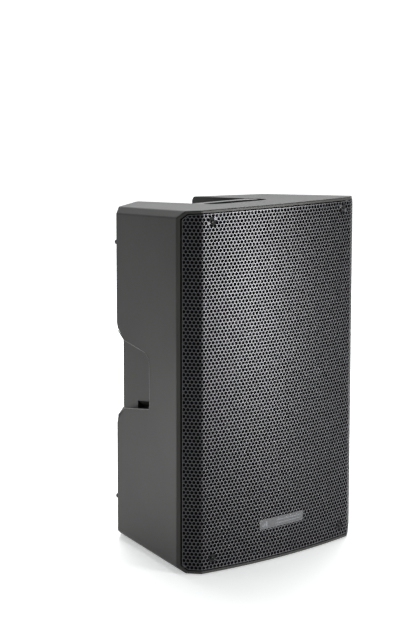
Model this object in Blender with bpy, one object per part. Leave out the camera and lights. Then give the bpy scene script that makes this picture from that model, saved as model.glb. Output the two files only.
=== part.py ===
"""Powered two-way PA speaker cabinet, 15 inch class.

Frame: metres, +X to the right seen from the front, +Y to the back, +Z up.
The origin is under the middle of the cabinet, on the surface it stands on.
"""
import math

import bmesh
import bpy
from mathutils import Matrix, Vector

# ---------------------------------------------------------------- driving dimensions
HEIGHT = 0.720            # from the rubber feet to the front edge of the top
FOOT_PROUD = 0.003        # the feet lift the moulding off the floor
FRONT_Y = -0.21525        # the middle of the curved grille
REAR_Y = 0.21665          # the flat rear face
GAP = 0.0003              # clearance between pieces that touch
BEHIND, BELOW, ABOVE = 0.3, -0.1, 0.9  # well outside the cabinet, where cutters start and end

BEND_X = 0.186            # the vertical bend where the curved front meets a bevel
SAGITTA = 0.015           # how far the front bows out between its bends
CORNER_X = 0.2214         # widest point, where a bevel meets a side
CORNER_Y = -0.166
SIDE_REAR_X = 0.2035      # the sides taper in to here
SIDE_REAR_Y = 0.078
REAR_X = 0.058            # half width of the flat rear face
TOP_DROP = 0.0347         # the top falls this far from front to rear
EDGE_CUT_X = 0.0146       # chamfer along the top and bottom side edges
EDGE_CUT_Z = 0.0131
REAR_CUT = 0.020          # chamfer between the top and the rear face
WALL = 0.006
SHELL_ROUND = 0.0022      # radius on the moulding's outer edges
ARC_STEPS = 14

GRILLE_GAP = 0.0025       # shadow gap between the grille and the rim
GRILLE_THICK = 0.0015
FOAM_THICK = 0.004
BAFFLE_FRONT = -0.165
BAFFLE_THICK = 0.012

HANDLE_HALF = 0.073       # the top recess: half width, front edge, corner radius and floor
HANDLE_FRONT_Y = -0.086
HANDLE_CORNER = 0.030
HANDLE_FLOOR = 0.645
BAR_REAR_Y = 0.004        # the grip bar across it
BAR_MIDDLE = 0.020        # its width in the middle, where fingers go round it
BAR_END = 0.046           # and where it meets the side walls
BAR_DEEP = 0.020
POCKET_DEEP = 0.017       # side pockets
FINGER_DEEP = 0.013       # the finger hollow goes this far beyond a side pocket
POCKET_WALL = 0.005       # moulded wall round each recess

WOOFER_Z = 0.236
WOOFER_R = 0.192
CONE_R = 0.164
COIL_R = 0.038
SPIDER_DEEP = 0.0875      # behind the baffle, clear of the cone's neck at full inward travel
MAGNET_Y = (-0.051, -0.005)
MAGNET_R = 0.085
HORN_Z = 0.572
HORN_HALF = (0.145, 0.084)
THROAT_R = 0.018
THROAT_Y = -0.067
DRIVER_R = 0.040
PORT_X, PORT_Z, PORT_R = 0.158, 0.424, 0.034

AMP_HALF = 0.0535         # recess for the amplifier panel in the rear face
AMP_Z = (0.150, 0.560)
AMP_DEEP = 0.014
AMP_PLATE = 0.003
AMP_RIM = 0.0085          # the panel laps the window in the recess floor by this much
AMP_FACE = REAR_Y - AMP_DEEP + GAP + AMP_PLATE

POLE_Y = -0.010
POLE_R = 0.01825          # takes a 35 mm pole
POLE_TOP = 0.108
POLE_FLANGE_R = 0.042
POLE_SLEEVE_R = 0.0222
FOOT_R = 0.014
FOOT_SEAT = 0.003
FOOT_PLACES = [(-0.172, -0.140), (0.172, -0.140), (-0.155, 0.075), (0.155, 0.075)]
SIDE_FOOT_Z = (0.087, 0.623)
SIDE_FOOT_RUN = 0.012     # from the side's rear corner, along the diagonal
SIDE_FOOT_R = 0.0045
SIDE_FOOT_SEAT = 0.0025
SIDE_FOOT_PROUD = 0.0052
SCREW_R = 0.002
GRILLE_HEAD_R = 0.0042
BOSS_R = 0.006            # posts on the baffle that the grille screws enter
GRILLE_SCREWS = [(-0.1626, 0.032), (0.1626, 0.032), (-0.1626, 0.695), (0.1626, 0.695)]
BADGE_SIZE = (0.111, 0.0205)
BADGE_Z = 0.080
ROUND_STEPS = 36
SMALL_STEPS = 12


# ---------------------------------------------------------------- helpers
def clear_scene():
    for thing in list(bpy.data.objects):
        bpy.data.objects.remove(thing)


def finish(name, colour, rough=0.6, metal=0.0):
    """One Principled material."""
    made = bpy.data.materials.get(name)
    if made is None:
        made = bpy.data.materials.new(name)
        made.use_nodes = True
        shader = made.node_tree.nodes["Principled BSDF"]
        shader.inputs["Base Color"].default_value = (*colour, 1)
        shader.inputs["Roughness"].default_value = rough
        shader.inputs["Metallic"].default_value = metal
    return made


def add(name, bm, look=None, smooth=False, origin=None, cutter=False):
    """Turns a bmesh in world coordinates into a named object, with its origin where asked."""
    bmesh.ops.recalc_face_normals(bm, faces=bm.faces)
    if origin is not None:
        bmesh.ops.translate(bm, verts=bm.verts, vec=-Vector(origin))
    mesh = bpy.data.meshes.new(name)
    bm.to_mesh(mesh)
    bm.free()
    if smooth:
        mesh.shade_smooth()
        mesh.set_sharp_from_angle(angle=math.radians(35))
    thing = bpy.data.objects.new(name, mesh)
    if origin is not None:
        thing.location = origin
    bpy.context.scene.collection.objects.link(thing)
    if cutter:
        thing.hide_render = True
        thing.display_type = "WIRE"
    else:
        mesh.materials.append(finish(*look))
    return thing


def boolean(thing, other, operation="DIFFERENCE"):
    step = thing.modifiers.new("cut_" + other.name, "BOOLEAN")
    step.operation = operation
    step.solver = "EXACT"
    step.object = other
    other.hide_render = True
    other.display_type = "WIRE"


def bevel(thing, width, segments=2, angle=25):
    step = thing.modifiers.new("rounded_edges", "BEVEL")
    step.width = width
    step.segments = segments
    step.limit_method = "ANGLE"
    step.angle_limit = math.radians(angle)


def block(low, high, chamfer=0.0):
    """A box between two corners, with its edges broken if asked."""
    bm = bmesh.new()
    bmesh.ops.create_cube(bm, size=1)
    low, high = Vector(low), Vector(high)
    size = high - low
    bmesh.ops.scale(bm, verts=bm.verts, vec=size)
    bmesh.ops.translate(bm, verts=bm.verts, vec=(low + high) / 2)
    if chamfer:
        bmesh.ops.bevel(bm, geom=bm.edges[:], offset=chamfer, segments=1, affect="EDGES")
    return bm


def prism(outline, low, high, axis="Z"):
    """Extrudes a flat outline: (x, y) along Z, (x, z) along Y, or (y, z) along X."""
    place = {
        "Z": lambda a, b, c: (a, b, c),
        "Y": lambda a, b, c: (a, c, b),
        "X": lambda a, b, c: (c, a, b),
    }[axis]
    bm = bmesh.new()
    floor = [bm.verts.new(place(a, b, low)) for a, b in outline]
    roof = [bm.verts.new(place(a, b, high)) for a, b in outline]
    bm.faces.new(floor)
    bm.faces.new(roof)
    count = len(outline)
    for i in range(count):
        j = (i + 1) % count
        bm.faces.new((floor[i], floor[j], roof[j], roof[i]))
    return bm


def hull(points):
    bm = bmesh.new()
    for point in points:
        bm.verts.new(point)
    made = bmesh.ops.convex_hull(bm, input=bm.verts)
    inside = dict.fromkeys(made["geom_interior"] + made["geom_unused"])
    loose = [v for v in inside if isinstance(v, bmesh.types.BMVert)]
    bmesh.ops.delete(bm, geom=loose, context="VERTS")
    return bm


def turned(profile, centre, direction, steps=ROUND_STEPS):
    """Turns a closed profile of (radius, height) round an axis through centre."""
    turn = Vector((0, 0, 1)).rotation_difference(Vector(direction)).to_matrix().to_4x4()
    place = Matrix.Translation(Vector(centre)) @ turn
    bm = bmesh.new()
    rings = []
    for radius, height in profile:
        if radius == 0:
            rings.append([bm.verts.new(place @ Vector((0, 0, height)))] * steps)
            continue
        angles = [math.tau * k / steps for k in range(steps)]
        rings.append([
            bm.verts.new(place @ Vector((radius * math.cos(a), radius * math.sin(a), height)))
            for a in angles
        ])
    for near, far in zip(rings, rings[1:] + rings[:1]):
        for k in range(steps):
            n = (k + 1) % steps
            corners = []
            for vert in (near[k], near[n], far[n], far[k]):
                if vert not in corners:
                    corners.append(vert)
            if len(corners) > 2:
                bm.faces.new(corners)
    return bm


def rod(radius, low, high, centre, direction, steps=SMALL_STEPS):
    return turned([(0, low), (radius, low), (radius, high), (0, high)], centre, direction, steps)


def lofted(rings):
    """Joins closed rings of equal length into one closed tube that meets itself."""
    bm = bmesh.new()
    loops = [[bm.verts.new(p) for p in ring] for ring in rings]
    count = len(rings[0])
    for near, far in zip(loops, loops[1:] + loops[:1]):
        for k in range(count):
            n = (k + 1) % count
            bm.faces.new((near[k], near[n], far[n], far[k]))
    return bm


def offset_path(points, distance):
    """Moves an open plan path sideways, to its left, with mitred corners."""
    path = [Vector(p) for p in points]
    normals = []
    for a, b in zip(path, path[1:]):
        along = (b - a).normalized()
        normals.append(Vector((-along.y, along.x)))
    made = [path[0] + normals[0] * distance]
    for i in range(1, len(path) - 1):
        mitre = (normals[i - 1] + normals[i]).normalized()
        made.append(path[i] + mitre * (distance / mitre.dot(normals[i])))
    made.append(path[-1] + normals[-1] * distance)
    return [(p.x, p.y) for p in made]


# ---------------------------------------------------------------- the cabinet's outer form
FRONT_RADIUS = (BEND_X ** 2 + SAGITTA ** 2) / (2 * SAGITTA)
FRONT_HALF_ANGLE = math.asin(BEND_X / FRONT_RADIUS)
TOP_SLOPE = math.atan(TOP_DROP / (REAR_Y - FRONT_Y))


def front_path():
    """The plan of the front, from the left corner over bevel, curve and bevel to the right corner."""
    curve = []
    for k in range(ARC_STEPS + 1):
        angle = FRONT_HALF_ANGLE * (2 * k / ARC_STEPS - 1)
        curve.append((
            FRONT_RADIUS * math.sin(angle),
            FRONT_Y + FRONT_RADIUS * (1 - math.cos(angle)),
        ))
    return [(-CORNER_X, CORNER_Y), *curve, (CORNER_X, CORNER_Y)]


def front_y(x, depth=0.0):
    """Where the curved front lies at x, moved back by depth."""
    radius = FRONT_RADIUS - depth
    return FRONT_Y + FRONT_RADIUS - math.sqrt(radius ** 2 - x ** 2)


def plan_planes():
    """Side, diagonal and rear faces as (point, outward direction)."""
    planes = [(Vector((0, REAR_Y, 0)), Vector((0, 1, 0)))]
    for side in (-1, 1):
        corners = [(CORNER_X, CORNER_Y), (SIDE_REAR_X, SIDE_REAR_Y), (REAR_X, REAR_Y)]
        for a, b in zip(corners, corners[1:]):
            along = Vector((side * (b[0] - a[0]), b[1] - a[1], 0)).normalized()
            out = Vector((along.y * side, -along.x * side, 0))
            planes.append((Vector((side * a[0], a[1], 0)), out))
    return planes


def top_planes():
    """Top, bottom, side-edge chamfers and the rear-top chamfer."""
    up = Vector((0, math.sin(TOP_SLOPE), math.cos(TOP_SLOPE)))
    planes = [
        (Vector((0, FRONT_Y, HEIGHT)), up),
        (Vector((0, 0, FOOT_PROUD)), Vector((0, 0, -1))),
        (Vector((0, REAR_Y - REAR_CUT, HEIGHT - TOP_DROP)), Vector((0, 1, 1)).normalized()),
    ]
    taper = Vector((SIDE_REAR_X - CORNER_X, SIDE_REAR_Y - CORNER_Y, 0)).normalized()
    for side in (-1, 1):
        along = Vector((side * taper.x, taper.y, 0))
        out = Vector((side * taper.y, -taper.x, 0))
        top_z = HEIGHT - (CORNER_Y - FRONT_Y) * math.tan(TOP_SLOPE)
        top_along = Vector((along.x, along.y, -along.y * math.tan(TOP_SLOPE)))
        for edge_z, run, sign in ((top_z, top_along, 1), (FOOT_PROUD, along, -1)):
            corner = Vector((side * CORNER_X, CORNER_Y, edge_z - sign * EDGE_CUT_Z))
            across = -out * EDGE_CUT_X + Vector((0, 0, sign * EDGE_CUT_Z))
            normal = run.cross(across).normalized()
            if normal.dot(out) < 0:
                normal.negate()
            planes.append((corner, normal))
    return planes


def carve(bm, planes, inset=0.0):
    """Cuts a mesh down to what lies behind every plane, each moved in by inset."""
    for point, normal in planes:
        bmesh.ops.bisect_plane(
            bm,
            geom=bm.verts[:] + bm.edges[:] + bm.faces[:],
            dist=1e-7,
            plane_co=point - normal * inset,
            plane_no=normal,
            clear_outer=True,
        )
        open_edges = [e for e in bm.edges if e.is_boundary]
        if open_edges:
            bmesh.ops.holes_fill(bm, edges=open_edges, sides=0)
    bmesh.ops.remove_doubles(bm, verts=bm.verts, dist=1e-6)
    return bm


def cabinet_form(inset, front=None):
    """The cabinet's solid form, set in all round; front puts a flat plane in place of the curve."""
    path = front_path()
    if front is None:
        outline = [*path, (CORNER_X, BEHIND), (-CORNER_X, BEHIND)]
    else:
        outline = [(-BEHIND, front), (BEHIND, front), (BEHIND, BEHIND), (-BEHIND, BEHIND)]
    bm = prism(outline, BELOW, ABOVE)
    return carve(bm, plan_planes() + top_planes(), inset)


def front_sheet(depth, thick, side_inset):
    """A sheet that follows the cabinet's front, depth behind it, and clears the rim by side_inset."""
    near = offset_path(front_path(), depth)
    far = offset_path(front_path(), depth + thick)
    bm = prism([*near, *reversed(far)], BELOW, ABOVE)
    return carve(bm, plan_planes()[1:] + top_planes()[:2] + top_planes()[3:], side_inset)


# ---------------------------------------------------------------- cutters for the shell
def handle_outline(grow):
    """Plan of the top recess: straight sides, open to the rear, with round front corners."""
    half, front, radius = HANDLE_HALF + grow, HANDLE_FRONT_Y - grow, HANDLE_CORNER + grow
    right = []
    for k in range(5):
        angle = math.pi / 2 * k / 4
        right.append((
            half - radius + radius * math.cos(angle),
            front + radius - radius * math.sin(angle),
        ))
    left = [(-x, y) for x, y in reversed(right)]
    return [(half, BEHIND), *right, *left, (-half, BEHIND)]


def side_frame(side):
    """A point at the middle of a side, its outward direction and its direction to the rear."""
    along = Vector((side * (SIDE_REAR_X - CORNER_X), SIDE_REAR_Y - CORNER_Y, 0)).normalized()
    out = Vector((side * along.y, -side * along.x, 0))
    return Vector((side * SIDE_REAR_X, SIDE_REAR_Y, 0)), out, along


def pocket_blocks(side, grow):
    """The side grip pocket, open to the rear, whose mouth flares towards the rear corner.

    Three convex blocks make it: the grip itself, the flare over its last stretch, and the wrap
    that carries it round the corner into the rear diagonal.
    Runs are measured along the side from its rear corner, forwards negative.
    """
    corner, out, along = side_frame(side)
    spare = 0.33  # inside the hull, so only the upper of the pair counts
    grip = (
        (-POCKET_DEEP - grow, [(-0.126, 0.2975, 0.3985), (-0.108, spare, 0.4096), (0.060, 0.2658, 0.4250)]),
        (0.006, [(-0.143, 0.3083, 0.4095), (-0.126, spare, 0.4203), (0.060, 0.2650, 0.4387)]),
    )
    flare = (
        (-POCKET_DEEP + 0.002 - grow, [(-0.034, 0.2860, 0.4165), (0.055, 0.2720, 0.4205)]),
        (0.009, [(-0.034, 0.2866, 0.4293), (0.030, 0.2121, 0.4900)]),
    )
    blocks = []
    for sides in (grip, flare):
        points = []
        for depth, edge in sides:
            for run, low, high in edge:
                front = run - (grow if run < 0 else 0)
                for z in (low - grow, high + grow):
                    points.append(corner + along * front + out * depth + Vector((0, 0, z)))
        blocks.append(points)
    rear_out, rear_along = diagonal_frame(side)[1:]
    floor = corner + out * (0.0008 - POCKET_DEEP) - along * 0.003
    wrap = [
        (floor - out * grow, 0.2760, 0.4195),
        (floor - rear_out * grow + rear_along * (0.036 + grow), 0.2790, 0.4175),
        (corner + (out + rear_out) * 0.004, 0.2524, 0.4567),
        (corner + rear_along * (0.060 + grow) + rear_out * 0.002, 0.2640, 0.4400),
    ]
    blocks.append([
        place + Vector((0, 0, z)) for place, low, high in wrap for z in (low - grow, high + grow)
    ])
    return blocks


def finger_points(side, grow):
    """The deeper finger hollow along the bottom of a side pocket, with a sloping roof."""
    corner, out, along = side_frame(side)
    deep = -POCKET_DEEP - FINGER_DEEP - grow
    points = []
    for run, low in ((-0.122 - grow, 0.2990), (-0.060 + grow, 0.2881)):
        for depth, rise in ((deep, 0.004), (-POCKET_DEEP + 0.002, 0.018)):
            for z in (low - grow, low + rise + grow):
                points.append(corner + along * run + out * depth + Vector((0, 0, z)))
    return points


def diagonal_frame(side):
    """The corner where a rear diagonal starts, its outward direction and its direction to the rear."""
    along = Vector((side * (REAR_X - SIDE_REAR_X), REAR_Y - SIDE_REAR_Y, 0)).normalized()
    out = Vector((side * along.y, -side * along.x, 0))
    return Vector((side * SIDE_REAR_X, SIDE_REAR_Y, 0)), out, along


def side_foot_frame():
    """Where the side feet stand on the left diagonal, at floor height, and their outward direction."""
    corner, out, along = diagonal_frame(-1)
    return corner + along * SIDE_FOOT_RUN, out


SHELL = ("moulded_shell", (0.045, 0.045, 0.043), 0.55)
GRILLE = ("grille_steel", (0.10, 0.10, 0.105), 0.42, 0.6)
FOAM = ("acoustic_foam", (0.010, 0.010, 0.011), 0.95)
PLATE = ("badge_metal", (0.22, 0.22, 0.225), 0.38, 0.7)
STEEL_DARK = ("blackened_steel", (0.03, 0.03, 0.032), 0.40, 0.9)
STEEL = ("plated_steel", (0.45, 0.45, 0.46), 0.35, 1.0)
CASTING = ("basket_casting", (0.05, 0.05, 0.055), 0.50, 0.5)
FERRITE = ("ferrite", (0.05, 0.05, 0.055), 0.65, 0.3)
PAPER = ("cone_paper", (0.022, 0.022, 0.024), 0.85)
RUBBER = ("black_rubber", (0.020, 0.020, 0.020), 0.80)
CLOTH = ("treated_cloth", (0.16, 0.11, 0.055), 0.90)
PLASTIC = ("black_plastic", (0.025, 0.025, 0.027), 0.50)
PANEL = ("painted_panel", (0.030, 0.030, 0.033), 0.50, 0.4)
ALLOY = ("aluminium", (0.60, 0.60, 0.62), 0.38, 1.0)
BOARD = ("circuit_board", (0.02, 0.12, 0.06), 0.55)
COPPER = ("copper_winding", (0.60, 0.28, 0.12), 0.40, 1.0)
LENS = ("led_lens", (0.05, 0.55, 0.20), 0.20)
TITANIUM = ("titanium", (0.50, 0.49, 0.47), 0.35, 1.0)
KNOB = ("knob_plastic", (0.06, 0.06, 0.062), 0.45)


# ---------------------------------------------------------------- enclosure
def make_shell():
    shell = add("cabinet_shell", cabinet_form(0.0), SHELL, smooth=True)
    bevel(shell, SHELL_ROUND)

    hollow = add("cut_hollow", cabinet_form(WALL, front=-BEHIND), cutter=True)
    keep = prism(handle_outline(POCKET_WALL), HANDLE_FLOOR - POCKET_WALL, ABOVE)
    boolean(hollow, add("keep_handle", keep, cutter=True))
    amp = block(
        (-AMP_HALF - POCKET_WALL, REAR_Y - AMP_DEEP - POCKET_WALL, AMP_Z[0] - POCKET_WALL),
        (AMP_HALF + POCKET_WALL, BEHIND, AMP_Z[1] + POCKET_WALL),
    )
    boolean(hollow, add("keep_amp", amp, cutter=True))
    for side, label in ((-1, "left"), (1, "right")):
        for k, points in enumerate(pocket_blocks(side, POCKET_WALL)):
            boolean(hollow, add("keep_pocket_%s_%d" % (label, k), hull(points), cutter=True))
        boolean(hollow, add("keep_finger_" + label, hull(finger_points(side, POCKET_WALL)), cutter=True))
    boolean(shell, hollow)

    boolean(shell, add("cut_handle", prism(handle_outline(0), HANDLE_FLOOR, ABOVE), cutter=True))
    for side, label in ((-1, "left"), (1, "right")):
        for k, points in enumerate(pocket_blocks(side, 0)):
            boolean(shell, add("cut_pocket_%s_%d" % (label, k), hull(points), cutter=True))
        boolean(shell, add("cut_finger_" + label, hull(finger_points(side, 0)), cutter=True))

    recess = block((-AMP_HALF, REAR_Y - AMP_DEEP, AMP_Z[0]), (AMP_HALF, BEHIND, AMP_Z[1]))
    boolean(shell, add("cut_amp_recess", recess, cutter=True))
    half = AMP_HALF - AMP_RIM
    window = block((-half, 0.14, AMP_Z[0] + 2 * AMP_RIM), (half, BEHIND, AMP_Z[1] - 2 * AMP_RIM))
    boolean(shell, add("cut_amp_window", window, cutter=True))
    for k, (x, z) in enumerate(amp_screw_places()):
        hole = rod(SCREW_R + GAP, -0.03, 0.03, (x, REAR_Y - AMP_DEEP, z), (0, 1, 0))
        boolean(shell, add("cut_amp_screw_%d" % k, hole, cutter=True))

    flange, bore = POLE_FLANGE_R + GAP, POLE_SLEEVE_R + 0.0004
    seat = turned([(0, BELOW), (flange, BELOW), (flange, 0.003), (bore, 0.003), (bore, 0.02), (0, 0.02)],
                  (0, POLE_Y, FOOT_PROUD), (0, 0, 1))
    boolean(shell, add("cut_pole_seat", seat, cutter=True))
    for k, (x, y) in enumerate(FOOT_PLACES):
        pocket = rod(FOOT_R + GAP, -0.02, FOOT_SEAT, (x, y, FOOT_PROUD), (0, 0, 1), 24)
        boolean(shell, add("cut_foot_%d" % k, pocket, cutter=True))
    place, out = side_foot_frame()
    for k, z in enumerate(SIDE_FOOT_Z):
        pocket = rod(SIDE_FOOT_R + GAP, -SIDE_FOOT_SEAT, 0.02, place + Vector((0, 0, z)), out)
        boolean(shell, add("cut_side_foot_%d" % k, pocket, cutter=True))


def make_top_handle():
    """The grip bar that bridges the top recess, flush with the sloping top and wider at its ends."""
    reach, steps = HANDLE_HALF - GAP, 8
    front = []
    for k in range(steps + 1):
        t = 2 * k / steps - 1
        front.append((reach * t, BAR_REAR_Y - BAR_MIDDLE - (BAR_END - BAR_MIDDLE) * t ** 4))
    outline = [*front, (reach, BAR_REAR_Y), (-reach, BAR_REAR_Y)]
    lowest = HEIGHT - TOP_DROP * (BAR_REAR_Y - FRONT_Y) / (REAR_Y - FRONT_Y) - BAR_DEEP
    bm = prism(outline, lowest, ABOVE)
    carve(bm, top_planes()[:1], 0.0006)
    bar = add("top_handle", bm, PLASTIC)
    bevel(bar, 0.0025)


def make_baffle():
    form = cabinet_form(WALL + GAP, front=BAFFLE_FRONT)
    back = BAFFLE_FRONT + BAFFLE_THICK
    carve(form, [(Vector((0, back, 0)), Vector((0, 1, 0)))])
    baffle = add("front_baffle", form, PLASTIC)
    for k, (x, z) in enumerate(GRILLE_SCREWS):
        reach = BAFFLE_FRONT - front_y(abs(x) + BOSS_R, GRILLE_THICK) - GAP
        boss = rod(BOSS_R, -0.002, reach, (x, BAFFLE_FRONT, z), (0, -1, 0))
        boolean(baffle, add("join_boss_%d" % k, boss, cutter=True), "UNION")
    forward = (0, -1, 0)
    woofer = rod(0.180, -0.03, 0.03, (0, BAFFLE_FRONT, WOOFER_Z), forward, 48)
    boolean(baffle, add("cut_woofer", woofer, cutter=True))
    a, b = HORN_HALF
    mouth = prism(ring_outline(a + 0.006, b + 0.006, 6, 32, HORN_Z), BAFFLE_FRONT - 0.03, 0, "Y")
    boolean(baffle, add("cut_horn", mouth, cutter=True))
    for side in (-1, 1):
        port = rod(PORT_R + 0.003, -0.03, 0.03, (side * PORT_X, BAFFLE_FRONT, PORT_Z), forward, 24)
        boolean(baffle, add("cut_port_%d" % side, port, cutter=True))
    for k, (x, z) in enumerate(GRILLE_SCREWS + woofer_screw_places() + horn_screw_places()):
        hole = rod(SCREW_R + GAP, -0.03, 0.06, (x, BAFFLE_FRONT, z), forward)
        boolean(baffle, add("cut_baffle_screw_%d" % k, hole, cutter=True))


def make_grille():
    inset = WALL + GRILLE_GAP
    grille = add("front_grille", front_sheet(0.0, GRILLE_THICK, inset), GRILLE)
    foam = add("grille_foam", front_sheet(GRILLE_THICK + GAP, FOAM_THICK, inset + 0.001), FOAM)
    for k, (x, z) in enumerate(GRILLE_SCREWS):
        for sheet, radius in ((grille, SCREW_R + GAP), (foam, 0.0065)):
            hole = rod(radius, -0.06, 0.06, (x, front_y(x), z), (0, -1, 0))
            boolean(sheet, add("cut_%s_%d" % (sheet.name, k), hole, cutter=True))
        # the head bears on the forward edge of the curved sheet under it
        under = front_y(abs(x) - GRILLE_HEAD_R) - 2 * GAP
        fastener("grille_screw_%d" % (k + 1), (x, under, z), (0, -1, 0), long=0.040, head=GRILLE_HEAD_R)


def make_badge():
    """A plain name plate, bowed to lie on the grille."""
    half, tall = BADGE_SIZE[0] / 2, BADGE_SIZE[1]
    steps = 6
    xs = [half * (2 * k / steps - 1) for k in range(steps + 1)]
    near = [(x, front_y(x) - 0.0014) for x in xs]
    far = [(x, front_y(x) - GAP) for x in reversed(xs)]
    plate = prism(near + far, BADGE_Z - tall / 2, BADGE_Z + tall / 2)
    add("badge_plate", plate, PLATE)


# ---------------------------------------------------------------- woofer
def woofer_screw_places():
    reach = WOOFER_R - 0.006
    angles = [math.radians(45 + 90 * k) for k in range(4)]
    return [(reach * math.cos(a), WOOFER_Z + reach * math.sin(a)) for a in angles]


def horn_screw_places():
    a, b = HORN_HALF
    return [(sx * (a + 0.0095), HORN_Z + sz * (b - 0.020)) for sx in (-1, 1) for sz in (-1, 1)]


def make_woofer():
    back = (0, 1, 0)
    centre = (0, BAFFLE_FRONT - GAP, WOOFER_Z)
    rear = MAGNET_Y[0] - centre[1] - GAP
    basket = add("woofer_basket", turned([
        (WOOFER_R, -0.005), (WOOFER_R, 0.0), (0.1785, 0.0), (0.1755, 0.012), (0.150, 0.040),
        (0.095, rear - 0.012), (0.080, rear), (0.060, rear), (0.060, rear - 0.004),
        (0.090, rear - 0.014), (0.146, 0.040), (0.1715, 0.012), (0.1745, 0.001), (0.1745, -0.005),
    ], centre, back), CASTING, smooth=True)
    for k in range(6):
        angle = math.tau * (k + 0.5) / 6
        near, far, half = 0.100, 0.164, 0.26
        points = []
        for radius, deep in ((near, 0.100), (far, 0.086)):
            for spread in (angle - half, angle + half):
                for y in (BAFFLE_FRONT + 0.036, BAFFLE_FRONT + deep):
                    points.append((radius * math.cos(spread), y, WOOFER_Z + radius * math.sin(spread)))
        boolean(basket, add("cut_window_%d" % k, hull(points), cutter=True))
    for k, (x, z) in enumerate(woofer_screw_places()):
        hole = rod(SCREW_R + GAP, -0.02, 0.02, (x, BAFFLE_FRONT, z), back)
        boolean(basket, add("cut_basket_screw_%d" % k, hole, cutter=True))
        fastener("woofer_screw_%d" % (k + 1), (x, BAFFLE_FRONT - 0.005 - 2 * GAP, z), (0, -1, 0))

    low, high = MAGNET_Y
    pole, gap_out = COIL_R - 0.0035, COIL_R + 0.0035
    add("woofer_magnet", turned([
        (0, 0.002), (pole, 0.002), (pole, 0.040), (gap_out, 0.040), (gap_out, 0.0), (0.072, 0.0),
        (0.072, 0.008), (MAGNET_R, 0.008), (MAGNET_R, 0.030), (0.078, 0.030), (0.078, high - low),
        (0.012, high - low), (0.012, 0.044), (0, 0.044),
    ], (0, low, WOOFER_Z), back), FERRITE, smooth=True)

    neck_y = 0.068
    rest = (0, centre[1], WOOFER_Z)
    moving = {"origin": rest, "smooth": True}
    add("woofer_cone", turned([
        (CONE_R, 0.001), (0.120, 0.036), (0.078, 0.058), (COIL_R + 0.0015, neck_y),
        (COIL_R + 0.0015, neck_y + 0.002), (0.078, 0.0602), (0.120, 0.0382), (CONE_R, 0.0032),
    ], rest, back), PAPER, **moving)
    add("woofer_voice_coil", turned([
        (COIL_R - 0.0008, neck_y - 0.004), (COIL_R + 0.0008, neck_y - 0.004),
        (COIL_R + 0.0008, neck_y + 0.060), (COIL_R - 0.0008, neck_y + 0.060),
    ], rest, back), COPPER, **moving)
    add("woofer_dust_cap", turned([
        (0, 0.024), (0.030, 0.029), (0.052, 0.041), (0.0600, 0.0505), (0.0600, 0.0535),
        (0.052, 0.0432), (0.030, 0.0312), (0, 0.0262),
    ], (0, centre[1] + 0.009, WOOFER_Z), back), PAPER, **moving)
    middle, outer_roll, inner_roll = CONE_R + 0.00525, 0.0048, 0.0039
    arcs = [math.pi * k / 5 for k in range(6)]
    surround = [(middle - outer_roll * math.cos(a), -outer_roll * math.sin(a)) for a in arcs]
    surround += [(middle + inner_roll * math.cos(a), -inner_roll * math.sin(a)) for a in arcs]
    add("woofer_surround", turned(surround, rest, back), RUBBER, smooth=True)
    spider = []
    waves = 5
    start, end = COIL_R + 0.0014, 0.096
    for k in range(2 * waves + 1):
        radius = start + (end - start) * k / (2 * waves)
        spider.append((radius, SPIDER_DEEP + (0.0022 if k % 2 else -0.0022)))
    under = [(r, h + 0.0009) for r, h in reversed(spider)]
    add("woofer_spider", turned(spider + under, rest, back, 30), CLOTH)


def fastener(name, place, direction, long=0.014, head=0.0040):
    """A pan-head screw: place is under its head, direction points out of the hole."""
    add(name, turned([
        (0, -long), (SCREW_R, -long), (SCREW_R, 0.0), (head, 0.0), (head, 0.0012), (head * 0.65, 0.0024),
        (0, 0.0024),
    ], Vector(place) + Vector(direction) * GAP, direction, SMALL_STEPS), STEEL_DARK, smooth=True)


# ---------------------------------------------------------------- horn, driver and ports
def ring_outline(a, b, power, count, z):
    """A closed outline between an ellipse (power 2) and a rectangle (high power), in X and Z."""
    points = []
    for k in range(count):
        angle = math.tau * k / count
        c, s = math.cos(angle), math.sin(angle)
        radius = (abs(c) ** power + abs(s) ** power) ** (-1 / power)
        points.append((a * radius * c, z + b * radius * s))
    return points


def ring(a, b, power, y, count=32):
    return [Vector((x, y, z)) for x, z in ring_outline(a, b, power, count, HORN_Z)]


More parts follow.
